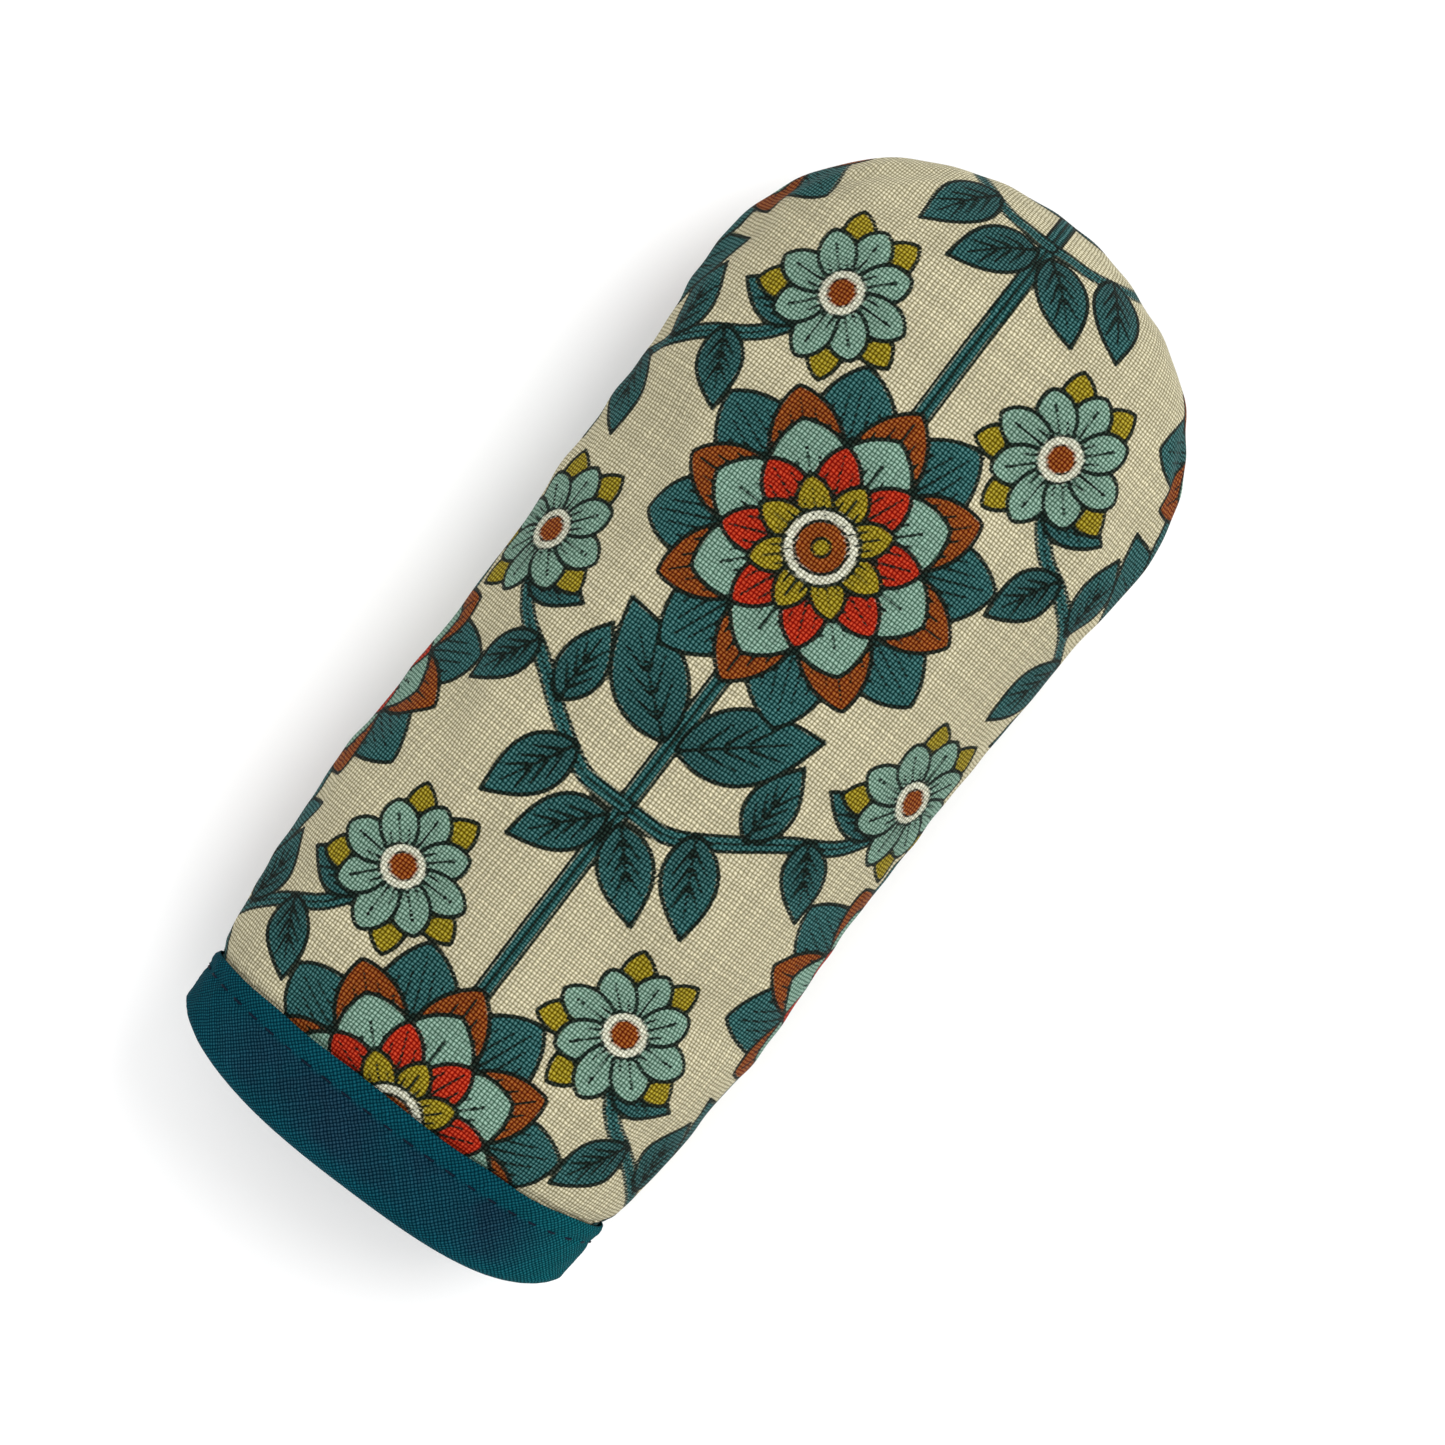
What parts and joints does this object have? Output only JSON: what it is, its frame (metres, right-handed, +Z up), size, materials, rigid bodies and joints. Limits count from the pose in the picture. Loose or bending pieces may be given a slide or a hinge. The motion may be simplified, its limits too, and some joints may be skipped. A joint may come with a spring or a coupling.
{
  "type": "oven mitt",
  "caption": "Thumbless padded mitt: a round-headed sleeve of printed cotton over wadding, a heat barrier and a lining, with a folded bias binding round its open mouth.",
  "frame": {"origin": "the centre of the mitt's plan outline, on the surface that its back rests on", "axes": "+Z up through the front panel, +Y along the sleeve towards the closed round head, so the open mouth is at -Y, +X across the sleeve"},
  "size_m": [0.0686, 0.153, 0.038],
  "materials": {
    "printed_cotton": "plain-weave cotton with a printed floral pattern",
    "wadding": "lofty cotton wadding",
    "heat_barrier": "needled felt with a reflective face",
    "lining_cotton": "plain-weave cotton",
    "binding_cotton": "bias-cut plain-weave cotton, pressed",
    "dark_thread": "twisted sewing thread",
    "cream_thread": "twisted sewing thread"
  },
  "bodies": {
    "root": {"shell_front": "printed_cotton", "shell_back": "printed_cotton", "wadding_front": "wadding", "wadding_back": "wadding", "heat_barrier_front": "heat_barrier", "heat_barrier_back": "heat_barrier", "lining_front": "lining_cotton", "lining_back": "lining_cotton", "cuff_binding": "binding_cotton", "binding_topstitch": "dark_thread", "binding_inner_stitch": "dark_thread", "shell_seam_thread": "cream_thread", "lining_seam_thread": "cream_thread"}
  },
  "joints": []
}
